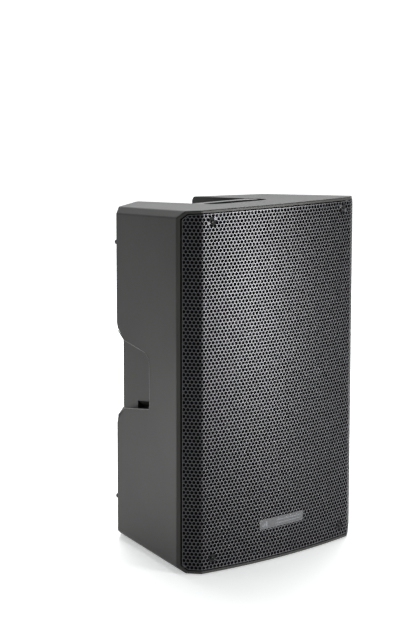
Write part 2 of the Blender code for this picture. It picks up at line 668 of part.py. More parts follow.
def make_horn():
    a, b = HORN_HALF
    front = BAFFLE_FRONT - GAP
    flange = (a + 0.016, b + 0.014)
    steps = 6
    inner, outer = [], []
    for k in range(steps + 1):
        t = k / steps
        open_out = (1 - t) ** 2
        half_a = THROAT_R + (a - THROAT_R) * open_out
        half_b = THROAT_R + (b - THROAT_R) * open_out
        power = 2 + 4 * (1 - t)
        y = front - 0.004 + (THROAT_Y - front + 0.004) * t
        inner.append(ring(half_a, half_b, power, y))
        outer.append(ring(half_a + 0.004, half_b + 0.004, power, max(y, front)))
    rings = [*reversed(inner), ring(*flange, 8, front - 0.004), ring(*flange, 8, front), *outer]
    horn = add("horn_waveguide", lofted(rings), PLASTIC, smooth=True)
    for k, (x, z) in enumerate(horn_screw_places()):
        hole = rod(SCREW_R + GAP, -0.02, 0.02, (x, BAFFLE_FRONT, z), (0, 1, 0))
        boolean(horn, add("cut_horn_screw_%d" % k, hole, cutter=True))
        fastener("horn_screw_%d" % (k + 1), (x, front - 0.004, z), (0, -1, 0))

    place = (0, THROAT_Y + GAP, HORN_Z)
    add("compression_driver", turned([
        (THROAT_R, 0.0), (0.034, 0.0), (0.034, 0.006), (DRIVER_R, 0.010), (DRIVER_R, 0.046),
        (0.034, 0.052), (0, 0.052), (0, 0.034), (0.026, 0.034), (0.026, 0.014), (THROAT_R, 0.014),
    ], place, (0, 1, 0), 24), FERRITE, smooth=True)
    add("driver_diaphragm", turned([
        (0, 0.020), (0.012, 0.0218), (0.020, 0.0260), (0.0245, 0.0260), (0.0245, 0.0268),
        (0.019, 0.0268), (0.011, 0.0230), (0, 0.0213),
    ], place, (0, 1, 0), 24), TITANIUM, smooth=True, origin=(0, place[1], HORN_Z))


def make_ports():
    for side, label in ((-1, "left"), (1, "right")):
        add("bass_port_" + label, turned([
            (PORT_R + 0.010, -0.003), (PORT_R + 0.010, 0.0), (PORT_R + 0.0025, 0.0),
            (PORT_R + 0.0025, 0.110), (PORT_R, 0.110), (PORT_R, 0.006), (PORT_R + 0.005, -0.003),
        ], (side * PORT_X, BAFFLE_FRONT - GAP, PORT_Z), (0, 1, 0), 24), PLASTIC, smooth=True)


# ---------------------------------------------------------------- amplifier module
SOCKETS = [("input_socket_1", -0.030, 0.500), ("input_socket_2", 0.030, 0.500), ("link_output", 0.0, 0.318)]
KNOBS = [("input_knob_1", -0.030, 0.440), ("input_knob_2", 0.030, 0.440), ("master_knob", 0.0, 0.388)]
INLET_PLACE = (-0.020, 0.192)
ROCKER_PLACE = (0.030, 0.194)
BUTTON_PLACE = (-0.034, 0.352)
LAMP_PLACE = (0.034, 0.352)
SOCKET_FLANGE = 0.003     # how far a socket's flange stands off the panel


def amp_screw_places():
    xs = (-AMP_HALF + 0.0045, AMP_HALF - 0.0045)
    return [(x, z) for x in xs for z in (AMP_Z[0] + 0.008, AMP_Z[1] - 0.008)]


def make_amp_panel():
    low = (-AMP_HALF + GAP, REAR_Y - AMP_DEEP + GAP, AMP_Z[0] + GAP)
    high = (AMP_HALF - GAP, AMP_FACE, AMP_Z[1] - GAP)
    panel = add("amp_panel", block(low, high), PANEL)
    out = (0, 1, 0)
    for name, x, z in SOCKETS:
        hole = rod(0.0123, -0.02, 0.02, (x, AMP_FACE, z), out, 20)
        boolean(panel, add("cut_" + name, hole, cutter=True))
    for name, x, z in KNOBS:
        hole = rod(0.0035, -0.02, 0.02, (x, AMP_FACE, z), out)
        boolean(panel, add("cut_" + name, hole, cutter=True))
    openings = [
        ("inlet", *INLET_PLACE, 0.0143, 0.0163),
        ("rocker", *ROCKER_PLACE, 0.0103, 0.0143),
        ("button", *BUTTON_PLACE, 0.0033, 0.0033),
        ("lamp", *LAMP_PLACE, 0.0018, 0.0018),
    ]
    for name, x, z, half_x, half_z in openings:
        hole = block((x - half_x, 0.15, z - half_z), (x + half_x, BEHIND, z + half_z))
        boolean(panel, add("cut_" + name, hole, cutter=True))
    for k, (x, z) in enumerate(amp_screw_places()):
        hole = rod(SCREW_R + GAP, -0.02, 0.02, (x, AMP_FACE, z), out)
        boolean(panel, add("cut_panel_screw_%d" % k, hole, cutter=True))
        fastener("amp_screw_%d" % (k + 1), (x, AMP_FACE, z), out, long=0.007)


def make_sockets():
    out = Vector((0, 1, 0))
    face = AMP_FACE + GAP
    for name, x, z in SOCKETS:
        flange = block((x - 0.0130, face, z - 0.0155), (x + 0.0130, face + SOCKET_FLANGE, z + 0.0155), 0.0008)
        socket = add(name, flange, PLASTIC)
        barrel = rod(0.0118, -0.022, 0.001, (x, face, z), out, 20)
        boolean(socket, add("join_barrel_" + name, barrel, cutter=True), "UNION")
        bore = rod(0.0095, -0.018, 0.02, (x, face, z), out, 20)
        boolean(socket, add("cut_bore_" + name, bore, cutter=True))
    front = face + SOCKET_FLANGE
    for number, (name, x, z) in enumerate(SOCKETS[:2]):
        tab_z = z + 0.0125
        slot = block((x - 0.0032, front - 0.0035, tab_z - 0.0019), (x + 0.0032, front + 0.01, tab_z + 0.0019))
        boolean(bpy.data.objects[name], add("cut_tab_" + name, slot, cutter=True))
        low = (x - 0.0028, front - 0.0010, tab_z - 0.0015)
        tab = block(low, (x + 0.0028, front + 0.0025, tab_z + 0.0015), 0.0004)
        add("latch_tab_%d" % (number + 1), tab, STEEL, origin=(x, front, tab_z))


def make_knobs():
    out = Vector((0, 1, 0))
    for name, x, z in KNOBS:
        base = AMP_FACE + GAP
        knob = add(name, turned([
            (0, -0.012), (0.0030, -0.012), (0.0030, 0.0), (0.0085, 0.0), (0.0085, 0.0025), (0.0068, 0.0038),
            (0.0062, 0.0094), (0.0054, 0.0100), (0, 0.0100),
        ], (x, base, z), out, 16), KNOB, smooth=True, origin=(x, base, z))
        notch = block((x - 0.0005, base + 0.0090, z + 0.0010), (x + 0.0005, base + 0.02, z + 0.02))
        boolean(knob, add("cut_pointer_" + name, notch, cutter=True))


def make_inlet():
    face = AMP_FACE + GAP
    x, z = INLET_PLACE
    flange = block((x - 0.0175, face, z - 0.0190), (x + 0.0175, face + 0.003, z + 0.0190), 0.0010)
    inlet = add("power_inlet", flange, PLASTIC)
    body = block((x - 0.0138, face - 0.024, z - 0.0158), (x + 0.0138, face + 0.001, z + 0.0158))
    boolean(inlet, add("join_inlet_body", body, cutter=True), "UNION")
    wide, narrow, low, shoulder, high = 0.0120, 0.0080, z - 0.0030, z + 0.0095, z + 0.0135
    well = [
        (x - wide, low), (x + wide, low), (x + wide, shoulder),
        (x + narrow, high), (x - narrow, high), (x - wide, shoulder),
    ]
    boolean(inlet, add("cut_inlet_well", prism(well, face - 0.018, BEHIND, "Y"), cutter=True))
    slot = block((x - 0.0113, face - 0.016, z - 0.0143), (x + 0.0113, BEHIND, z - 0.0057))
    boolean(inlet, add("cut_fuse_slot", slot, cutter=True))
    low = (x - 0.0110, face - 0.0155, z - 0.0140)
    drawer = block(low, (x + 0.0110, face + 0.0040, z - 0.0060), 0.0004)
    add("fuse_drawer", drawer, PLASTIC, origin=(x, face, z - 0.010))


def make_rocker():
    face = AMP_FACE + GAP
    x, z = ROCKER_PLACE
    bezel = block((x - 0.0125, face, z - 0.0165), (x + 0.0125, face + 0.002, z + 0.0165), 0.0006)
    frame = add("rocker_frame", bezel, PLASTIC)
    rear = block((x - 0.0100, face - 0.020, z - 0.0140), (x + 0.0100, face + 0.001, z + 0.0140))
    boolean(frame, add("join_rocker_rear", rear, cutter=True), "UNION")
    mouth = block((x - 0.0080, face - 0.010, z - 0.0120), (x + 0.0080, BEHIND, z + 0.0120))
    boolean(frame, add("cut_rocker_mouth", mouth, cutter=True))
    pivot = (x, face - 0.001, z)
    outline = [
        (0.0045, 0.0100), (0.0020, 0.0), (0.0005, -0.0102),
        (-0.0045, -0.0085), (-0.0065, 0.0), (-0.0030, 0.0095),
    ]
    points = [(pivot[1] + y, z + dz) for y, dz in outline]
    add("power_rocker", prism(points, x - 0.0076, x + 0.0076, "X"), PLASTIC, origin=pivot)


def make_button_and_lamp():
    face = AMP_FACE + GAP
    for name, (x, z), half, depth, proud, chamfer, look in (
        ("mode_button", BUTTON_PLACE, 0.0029, 0.008, 0.0022, 0.0004, KNOB),
        ("power_lamp", LAMP_PLACE, 0.0015, 0.006, 0.0008, 0.0003, LENS),
    ):
        low = (x - half, face - depth, z - half)
        stud = block(low, (x + half, face + proud, z + half), chamfer)
        add(name, stud, look, origin=(x, face, z) if name == "mode_button" else None)


def make_amp_inside():
    back = REAR_Y - AMP_DEEP - GAP
    fins, pitch, fin = 8, 0.0118, 0.0035
    width = (fins - 1) * pitch + fin
    left = -width / 2
    base_y, tip_y = back + 0.0003, back - 0.034
    outline = [(left, base_y)]
    for k in range(fins):
        x = left + k * pitch
        outline += [(x, tip_y), (x + fin, tip_y)]
        if k < fins - 1:
            outline += [(x + fin, base_y - 0.006), (x + pitch, base_y - 0.006)]
    outline.append((-left, base_y))
    add("amp_heatsink", prism(outline, 0.225, 0.298), ALLOY)

    board_y = REAR_Y - 0.046
    board = add("amp_board", block((-0.043, board_y, 0.340), (0.043, board_y + 0.0016, 0.475)), BOARD)
    # x, z, half width, half height and how far each component stands off the board
    lumps = [
        (-0.030, 0.420, 0.010, 0.014, -0.020), (0.004, 0.430, 0.012, 0.012, -0.026),
        (0.034, 0.415, 0.009, 0.020, -0.016), (-0.026, 0.365, 0.016, 0.010, -0.014),
        (0.026, 0.362, 0.014, 0.012, -0.022), (0.030, 0.455, 0.010, 0.010, 0.014),
    ]
    for k, (x, z, half_x, half_z, reach) in enumerate(lumps):
        ends = sorted((board_y + 0.0008, board_y + reach))
        lump = block((x - half_x, ends[0], z - half_z), (x + half_x, ends[1], z + half_z))
        boolean(board, add("join_component_%d" % k, lump, cutter=True), "UNION")
    add("power_transformer", turned([
        (0.012, -0.018), (0.034, -0.018), (0.038, -0.013), (0.038, 0.013), (0.034, 0.018), (0.012, 0.018),
    ], (0, REAR_Y - 0.076, 0.200), (0, 1, 0), 24), COPPER, smooth=True)


# ---------------------------------------------------------------- base fittings
def make_base():
    add("pole_socket", turned([
        (POLE_R, GAP), (POLE_FLANGE_R, GAP), (POLE_FLANGE_R, 0.0027), (POLE_SLEEVE_R, 0.0027),
        (POLE_SLEEVE_R, POLE_TOP), (0, POLE_TOP), (0, POLE_TOP - 0.003), (POLE_R, POLE_TOP - 0.003),
    ], (0, POLE_Y, FOOT_PROUD), (0, 0, 1), 24), PLASTIC, smooth=True)
    rim, top = FOOT_R - 0.0006, FOOT_PROUD + FOOT_SEAT - GAP
    for k, (x, y) in enumerate(FOOT_PLACES):
        add("rubber_foot_%d" % (k + 1), turned([
            (0, 0.0), (FOOT_R - 0.002, 0.0), (rim, 0.0012), (rim, top), (0, top),
        ], (x, y, 0), (0, 0, 1), 24), RUBBER, smooth=True)
    place, out = side_foot_frame()
    base, tip = -SIDE_FOOT_SEAT + GAP, SIDE_FOOT_PROUD
    for label, z in zip(("lower", "upper"), SIDE_FOOT_Z):
        add("side_foot_" + label, turned([
            (0, base), (SIDE_FOOT_R, base), (SIDE_FOOT_R, tip - 0.0018), (SIDE_FOOT_R * 0.75, tip), (0, tip),
        ], place + Vector((0, 0, z)), out, SMALL_STEPS), RUBBER, smooth=True)


clear_scene()
make_shell()
make_top_handle()
make_baffle()
make_grille()
make_badge()
make_woofer()
make_horn()
make_ports()
make_amp_panel()
make_sockets()
make_knobs()
make_inlet()
make_rocker()
make_button_and_lamp()
make_amp_inside()
make_base()
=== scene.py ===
import bisect
import math

import bmesh
import bpy
from mathutils import Matrix, Vector
from mathutils.geometry import delaunay_2d_cdt


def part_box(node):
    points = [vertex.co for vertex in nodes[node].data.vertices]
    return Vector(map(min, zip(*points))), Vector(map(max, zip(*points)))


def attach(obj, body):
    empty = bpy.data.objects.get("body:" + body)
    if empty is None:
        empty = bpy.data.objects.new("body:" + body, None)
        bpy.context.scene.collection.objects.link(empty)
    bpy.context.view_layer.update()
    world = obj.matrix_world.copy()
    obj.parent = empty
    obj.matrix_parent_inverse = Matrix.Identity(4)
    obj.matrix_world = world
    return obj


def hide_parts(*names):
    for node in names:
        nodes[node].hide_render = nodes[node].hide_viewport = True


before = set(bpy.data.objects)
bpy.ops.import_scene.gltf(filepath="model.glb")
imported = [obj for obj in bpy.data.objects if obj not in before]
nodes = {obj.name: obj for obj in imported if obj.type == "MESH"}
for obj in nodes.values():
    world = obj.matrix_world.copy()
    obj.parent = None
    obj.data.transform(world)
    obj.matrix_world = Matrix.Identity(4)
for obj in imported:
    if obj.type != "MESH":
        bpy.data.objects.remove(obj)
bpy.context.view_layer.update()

# ---------------------------------------------------------------- the part's own dimensions, in metres
HEIGHT = 0.720
FOOT_PROUD = 0.003
FRONT_Y = -0.21525
REAR_Y = 0.21665
BEND_X = 0.186
SAGITTA = 0.015
CORNER = (0.2214, -0.166)
SIDE_REAR = (0.2035, 0.078)
TOP_DROP = 0.0347
EDGE_CUT = (0.0146, 0.0131)
SHEET_INSET = 0.0085      # from the shell's outer faces to the edge of the grille
SHEET_THICK = 0.0012
LIP_R = 0.0009            # the bead along a pocket's mouth
LIP_SUNK = 0.0005         # how deep the bead's middle lies in the shell
GRILLE_SCREWS = [(-0.1626, 0.032), (0.1626, 0.032), (-0.1626, 0.695), (0.1626, 0.695)]
FRONT_RADIUS = (BEND_X ** 2 + SAGITTA ** 2) / (2 * SAGITTA)
TOP_SLOPE = math.atan(TOP_DROP / (REAR_Y - FRONT_Y))

# the perforation
PITCH = 0.0079
ROW = PITCH * math.sqrt(3) / 2
HOLE = 0.82 * PITCH / math.sqrt(3)     # from a hole's centre to its corners
HOLE_CLEAR = 0.0009                    # least metal between a hole and the sheet's edge
SCREW_SHADE_R = 0.0086                        # painted shade: the sheet takes the near-black material this far round each screw
LEAST_HOLE = 0.000004                  # smaller cut holes are left out, in square metres
DIMPLE_R = 0.0046                      # the sheet is pressed in round each screw
DIMPLE_DEEP = 0.0009
SHANK_HOLE_R = 0.0023                  # the hole in the sheet for a screw's shank
FIRST_ROW = 0.0042                     # from the sheet's lower edge to the lowest row of holes

# light and camera
LENS_MM = 86.96
LENS_SHIFT = -0.22
CAMERA_PLACE = (-1.8247, -2.5135, 1.0934)
CAMERA_YAW, CAMERA_PITCH, CAMERA_ROLL = (math.radians(a) for a in (35.552, 6.178, 0.079))
FLOOR_HALF = 90.0
FLOOR_NEAR, FLOOR_FAR = 1.2, 7.0       # the floor's own light grows between these distances
GLOW_NEAR, GLOW_FAR = 0.44, 0.78
SKY_BEHIND = (0.58, 0.81, 0.0)         # the horizontal direction the camera looks in
SKY_DIM, SKY_BRIGHT = 0.30, 1.25       # the world as a light, in front of the cabinet and behind it
SKY_SEEN = 1.3                         # the world as the camera sees it


# ---------------------------------------------------------------- materials
def link(tree, a, b):
    tree.links.new(a, b)


def surface(name, low, high, rough, metal=0.0, mottle=9.0, grain=900.0, kind="noise", relief=0.00005,
            strength=0.5, stretch=(1, 1, 1), specular=0.5, emission=None):
    """A Principled material with mottled colour, and a fine grain in its roughness and relief."""
    made = bpy.data.materials.new(name)
    made.use_nodes = True
    tree = made.node_tree
    shader = tree.nodes["Principled BSDF"]
    shader.inputs["Metallic"].default_value = metal
    shader.inputs["Specular IOR Level"].default_value = specular
    place = tree.nodes.new("ShaderNodeTexCoord")

    broad = tree.nodes.new("ShaderNodeTexNoise")
    broad.inputs["Scale"].default_value = mottle
    broad.inputs["Detail"].default_value = 5
    link(tree, place.outputs["Object"], broad.inputs["Vector"])
    ramp = tree.nodes.new("ShaderNodeValToRGB")
    ramp.color_ramp.elements[0].position = 0.32
    ramp.color_ramp.elements[1].position = 0.68
    ramp.color_ramp.elements[0].color = (*low, 1)
    ramp.color_ramp.elements[1].color = (*high, 1)
    link(tree, broad.outputs["Fac"], ramp.inputs["Fac"])

    turn = tree.nodes.new("ShaderNodeMapping")
    turn.inputs["Scale"].default_value = stretch
    link(tree, place.outputs["Object"], turn.inputs["Vector"])
    if kind == "noise":
        fine = tree.nodes.new("ShaderNodeTexNoise")
        fine.inputs["Detail"].default_value = 3
        out = "Fac"
    elif kind == "cells":
        fine = tree.nodes.new("ShaderNodeTexVoronoi")
        out = "Distance"
    else:
        fine = tree.nodes.new("ShaderNodeTexWave")
        fine.bands_direction = kind
        fine.inputs["Distortion"].default_value = 0.6
        fine.inputs["Detail"].default_value = 1
        out = "Fac"
    fine.inputs["Scale"].default_value = grain
    link(tree, turn.outputs["Vector"], fine.inputs["Vector"])
    spread = tree.nodes.new("ShaderNodeMapRange")
    spread.inputs["To Min"].default_value = rough[0]
    spread.inputs["To Max"].default_value = rough[1]
    link(tree, fine.outputs[out], spread.inputs["Value"])
    link(tree, spread.outputs["Result"], shader.inputs["Roughness"])
    bump = tree.nodes.new("ShaderNodeBump")
    bump.inputs["Distance"].default_value = relief
    bump.inputs["Strength"].default_value = strength
    link(tree, fine.outputs[out], bump.inputs["Height"])
    link(tree, bump.outputs["Normal"], shader.inputs["Normal"])

    # the grain darkens the colour a little in its hollows
    shade = tree.nodes.new("ShaderNodeMix")
    shade.data_type = "RGBA"
    shade.blend_type = "MULTIPLY"
    shade.inputs["Factor"].default_value = 0.35
    link(tree, ramp.outputs["Color"], shade.inputs["A"])
    link(tree, fine.outputs[out], shade.inputs["B"])
    link(tree, shade.outputs["Result"], shader.inputs["Base Color"])
    if emission:
        shader.inputs["Emission Color"].default_value = (*emission, 1)
        shader.inputs["Emission Strength"].default_value = 0.6
    return made


MOULDED = surface("moulded_shell", (0.016, 0.016, 0.0142), (0.022, 0.0217, 0.0192), (0.42, 0.58), mottle=7,
                  grain=1500, relief=0.00006, strength=0.35, specular=0.23)
# a lighter, glossier copy of the shell for the beads along the pocket mouths: a painted highlight along
# their edges
MOULDED_PAINTED_HIGHLIGHT = surface("moulded_painted_highlight", (0.040, 0.040, 0.036), (0.055, 0.0545, 0.049), (0.24, 0.36),
                       mottle=15,
                       grain=1500, relief=0.00003, strength=0.25)
GRILLE_COAT = surface("grille_powder_coat", (0.043, 0.043, 0.0475), (0.053, 0.053, 0.058), (0.34, 0.46),
                      0.45,
                      mottle=30, grain=1800, relief=0.00003, strength=0.35)
# painted shade: a near-black copy of the grille coat for the hole walls, the sheet's back and the sheet
# round each screw
GRILLE_PAINTED_SHADE = surface("grille_painted_shade", (0.0030, 0.0030, 0.0034), (0.0050, 0.0050, 0.0056), (0.60,
                      0.75),
                      mottle=60, grain=1800, relief=0.00002, strength=0.3, specular=0.15)
FOAM = surface("open_cell_foam", (0.0010, 0.0010, 0.0012), (0.003, 0.003, 0.0035), (0.90, 1.0), mottle=300,
               grain=700, kind="cells", relief=0.0010, strength=1.0, specular=0.05)
BLACK_PLASTIC = surface("black_plastic", (0.016, 0.016, 0.017), (0.026, 0.026, 0.027), (0.34, 0.50),
                        mottle=12,
                        grain=1600, relief=0.00004, strength=0.3)
GRIP = surface("grip_plastic", (0.030, 0.030, 0.029), (0.042, 0.042, 0.040), (0.40, 0.58), mottle=12,
               grain=1300, relief=0.00008, strength=0.4)
SOCKET = surface("socket_nylon", (0.014, 0.014, 0.015), (0.022, 0.022, 0.024), (0.28, 0.42), mottle=40,
                 grain=1800, relief=0.00003, strength=0.3)
KNOB = surface("knob_plastic", (0.030, 0.030, 0.032), (0.042, 0.042, 0.045), (0.42, 0.58), mottle=60,
               grain=1500, relief=0.00005, strength=0.3)
PANEL = surface("panel_powder_coat", (0.018, 0.018, 0.020), (0.028, 0.028, 0.030), (0.40, 0.56), 0.2,
                mottle=20,
                grain=1400, relief=0.00005, strength=0.5)
BADGE = surface("badge_metal", (0.036, 0.037, 0.039), (0.046, 0.047, 0.050), (0.55, 0.68), 0.15, mottle=40,
                grain=900, stretch=(0.04, 1, 1), relief=0.00002, strength=0.4)
MARK = surface("printed_mark", (0.090, 0.096, 0.108), (0.110, 0.116, 0.128), (0.50, 0.65), 0.1, mottle=60,
               grain=1500, relief=0.00002, strength=0.3)
PRINT = surface("panel_print", (0.55, 0.55, 0.55), (0.66, 0.66, 0.66), (0.50, 0.65), mottle=80,
                grain=1500, relief=0.00001, strength=0.2)
SCREW = surface("blackened_screw", (0.004, 0.004, 0.0045), (0.009, 0.009, 0.010), (0.30, 0.46), 0.2,
                mottle=400,
                grain=2500, relief=0.00003, strength=0.4, specular=0.15)
STEEL = surface("plated_steel", (0.42, 0.42, 0.43), (0.52, 0.52, 0.53), (0.20, 0.38), 1.0, mottle=120,
                grain=1400, stretch=(1, 0.1, 1), relief=0.00002, strength=0.4)
BRASS = surface("plated_contact", (0.62, 0.48, 0.24), (0.72, 0.57, 0.30), (0.20, 0.34), 1.0, mottle=300,
                grain=2000, relief=0.00001, strength=0.3)
CASTING = surface("basket_enamel", (0.016, 0.016, 0.018), (0.028, 0.028, 0.031), (0.38, 0.55), 0.3,
                  mottle=30,
                  grain=700, relief=0.00012, strength=0.5)
FERRITE = surface("ferrite_and_iron", (0.022, 0.022, 0.024), (0.050, 0.050, 0.054), (0.50, 0.72), 0.3,
                  mottle=60,
                  grain=1100, relief=0.00010, strength=0.6)
PAPER = surface("doped_paper", (0.010, 0.010, 0.011), (0.022, 0.022, 0.024), (0.72, 0.92), mottle=60,
                grain=420, relief=0.00020, strength=0.7)
RUBBER = surface("black_rubber", (0.012, 0.012, 0.012), (0.022, 0.022, 0.022), (0.60, 0.80), mottle=50,
                 grain=900, relief=0.00006, strength=0.5)
CLOTH = surface("treated_cloth", (0.13, 0.080, 0.036), (0.22, 0.145, 0.070), (0.80, 0.95), mottle=200,
                grain=420, kind="DIAGONAL", relief=0.00015, strength=0.9)
TITANIUM = surface("formed_titanium", (0.40, 0.39, 0.37), (0.52, 0.51, 0.48), (0.22, 0.38), 1.0, mottle=200,
                   grain=1500, relief=0.00001, strength=0.3)
ALLOY = surface("extruded_alloy", (0.46, 0.46, 0.48), (0.60, 0.60, 0.62), (0.28, 0.44), 1.0, mottle=40,
                grain=900, stretch=(1, 1, 0.03), relief=0.00002, strength=0.5)
BOARD = surface("solder_mask", (0.006, 0.060, 0.026), (0.012, 0.110, 0.050), (0.30, 0.45), mottle=160,
                grain=260, kind="cells", relief=0.00006, strength=0.6)
COPPER = surface("enamelled_winding", (0.42, 0.16, 0.06), (0.60, 0.26, 0.11), (0.22, 0.42), 1.0, mottle=120,
                 grain=320, kind="Y", relief=0.00020, strength=0.9)
LENS = surface("lamp_lens", (0.010, 0.30, 0.090), (0.016, 0.42, 0.13), (0.10, 0.18), mottle=500,
               grain=900, relief=0.00002, strength=0.3, emission=(0.02, 0.55, 0.16))

by_name = {
    "cabinet_shell": MOULDED, "top_handle": GRIP, "front_baffle": BLACK_PLASTIC,
    "front_grille": GRILLE_COAT,
    "grille_foam": FOAM, "badge_plate": BADGE, "woofer_basket": CASTING, "woofer_magnet": FERRITE,
    "woofer_cone": PAPER, "woofer_dust_cap": PAPER, "woofer_voice_coil": COPPER, "woofer_surround": RUBBER,
    "woofer_spider": CLOTH, "horn_waveguide": BLACK_PLASTIC, "compression_driver": FERRITE,
    "driver_diaphragm": TITANIUM, "amp_panel": PANEL, "amp_heatsink": ALLOY, "amp_board": BOARD,
    "power_transformer": COPPER, "pole_socket": BLACK_PLASTIC, "mode_button": KNOB, "power_lamp": LENS,
    "power_inlet": SOCKET, "fuse_drawer": SOCKET, "rocker_frame": SOCKET, "power_rocker": SOCKET,
    "link_output": SOCKET,
}
by_word = [("screw", SCREW), ("input_socket", SOCKET), ("latch_tab", STEEL), ("knob", KNOB),
           ("foot", RUBBER), ("bass_port", BLACK_PLASTIC)]
for name, thing in nodes.items():
    look = by_name.get(name) or next(m for word, m in by_word if word in name)
    thing.data.materials.clear()
    thing.data.materials.append(look)


# ---------------------------------------------------------------- mesh helpers
def settle(name, mesh, look, body="cabinet", smooth=False):
    if smooth:
        mesh.shade_smooth()
        mesh.set_sharp_from_angle(angle=math.radians(35))
    mesh.materials.append(look)
    thing = bpy.data.objects.new(name, mesh)
    bpy.context.scene.collection.objects.link(thing)
    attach(thing, body)
    return thing


# ---------------------------------------------------------------- the front's curve
def front_path():
    """The plan of the front as a dense path, with a small radius at each bend."""
    half_angle = math.asin(BEND_X / FRONT_RADIUS)
    curve = []
    for k in range(241):
        angle = half_angle * (k / 120 - 1)
        curve.append((FRONT_RADIUS * math.sin(angle), FRONT_Y + FRONT_RADIUS * (1 - math.cos(angle))))
    bevel = []
    for k in range(40):
        t = k / 40
        bevel.append((CORNER[0] + (curve[-1][0] - CORNER[0]) * t,
                      CORNER[1] + (curve[-1][1] - CORNER[1]) * t))
    sharp = [(-x, y) for x, y in bevel] + curve + list(reversed(bevel))
    reach = 2
    soft = []
    for i in range(len(sharp)):
        near = sharp[max(0, i - reach):i + reach + 1]
        if i < reach or i >= len(sharp) - reach:
            near = [sharp[i]]
        soft.append(Vector((sum(p[0] for p in near) / len(near), sum(p[1] for p in near) / len(near))))
    return soft


PATH = front_path()
RUN = [0.0]
for a, b in zip(PATH, PATH[1:]):
    RUN.append(RUN[-1] + (b - a).length)
MIDDLE_RUN = RUN[-1] / 2
INWARD = []
for i in range(len(PATH)):
    along = (PATH[min(i + 1, len(PATH) - 1)] - PATH[max(i - 1, 0)]).normalized()
    INWARD.append(Vector((-along.y, along.x)))


def on_front(s, depth=0.0):
    """The plan point at run s from the middle of the front, moved in by depth."""
    s = min(max(s + MIDDLE_RUN, 0.0), RUN[-1] - 1e-9)
    i = bisect.bisect_right(RUN, s) - 1
    t = (s - RUN[i]) / (RUN[i + 1] - RUN[i])
    return PATH[i].lerp(PATH[i + 1], t) + INWARD[i].lerp(INWARD[i + 1], t) * depth


def run_at(x):
    """The run at which the front passes x."""
    low, high = -MIDDLE_RUN, MIDDLE_RUN
    for _ in range(40):
        mid = (low + high) / 2
        if on_front(mid).x < x:
            low = mid
        else:
            high = mid
    return (low + high) / 2


def rim_planes():
    """The shell's top, bottom, side and side-edge chamfer planes, as (point, outward direction)."""
    slope = math.tan(TOP_SLOPE)
    planes = [
        (Vector((0, FRONT_Y, HEIGHT)), Vector((0, math.sin(TOP_SLOPE), math.cos(TOP_SLOPE)))),
        (Vector((0, 0, FOOT_PROUD)), Vector((0, 0, -1))),
    ]
    for side in (-1, 1):
        along = Vector((side * (SIDE_REAR[0] - CORNER[0]), SIDE_REAR[1] - CORNER[1], 0)).normalized()
        out = Vector((side * along.y, -side * along.x, 0))
        planes.append((Vector((side * CORNER[0], CORNER[1], 0)), out))
        top_z = HEIGHT - (CORNER[1] - FRONT_Y) * slope
        rising = along - Vector((0, 0, along.y * slope))
        for edge_z, run, sign in ((top_z, rising, 1), (FOOT_PROUD, along, -1)):
            corner = Vector((side * CORNER[0], CORNER[1], edge_z - sign * EDGE_CUT[1]))
            normal = run.cross(Vector((0, 0, sign * EDGE_CUT[1])) - out * EDGE_CUT[0]).normalized()
            if normal.dot(out) < 0:
                normal.negate()
            planes.append((corner, normal))
    return planes


PLANES = rim_planes()


def room(s, z, inset):
    """How far the point at run s and height z lies inside the rim, less inset."""
    p = on_front(s)
    point = Vector((p.x, p.y, z))
    return min((q - point).dot(n) for q, n in PLANES) - inset


def edge_search(inside, outside, inset):
    """The point between the two, each (run, height), where the sheet ends."""
    inside, outside = Vector(inside), Vector(outside)
    for _ in range(30):
        mid = (inside + outside) / 2
        if room(mid.x, mid.y, inset) > 0:
            inside = mid
        else:
            outside = mid
    return inside


def sheet_outline(inset, step=0.004):
    """The sheet's edge, as (run, height) points."""
    middle = HEIGHT / 2
    left = edge_search((0, middle), (-MIDDLE_RUN, middle), inset).x
    right = -left
    count = int((right - left) / step)
    runs = [left + (right - left) * k / count for k in range(count + 1)]
    low = [edge_search((s * 0.9999, middle), (s * 0.9999, -0.1), inset) for s in runs]
    high = [edge_search((s * 0.9999, middle), (s * 0.9999, 1.0), inset) for s in runs]
    rise = int((high[0].y - low[0].y) / (2 * step))
    sides = [low[-1].lerp(high[-1], k / rise) for k in range(1, rise)]
    back = [high[0].lerp(low[0], k / rise) for k in range(1, rise)]
    return low + sides + list(reversed(high)) + back


# ---------------------------------------------------------------- the perforated grille
def dimple(s, z, centres):
    """How far the sheet is pressed in round the nearest screw."""
    away = min(math.hypot(s - a, z - b) for a, b in centres)
    t = min(max((DIMPLE_R - away) / (DIMPLE_R * 0.42), 0.0), 1.0)
    return DIMPLE_DEEP * t * t * (3 - 2 * t)


def area(ring):
    return abs(sum(a[0] * b[1] - b[0] * a[1] for a, b in zip(ring, ring[1:] + ring[:1]))) / 2


def clipped(ring, inset):
    """What is left of a hole that the sheet's edge cuts."""
    spare = [room(s, z, inset) for s, z in ring]
    if min(spare) >= 0:
        return ring
    if max(spare) <= 0:
        return []
    made = []
    for k, point in enumerate(ring):
        n = (k + 1) % len(ring)
        if spare[k] > 0:
            made.append(point)
        if (spare[k] > 0) != (spare[n] > 0):
            inside, outside = (point, ring[n]) if spare[k] > 0 else (ring[n], point)
            made.append(tuple(edge_search(inside, outside, inset)))
    return made


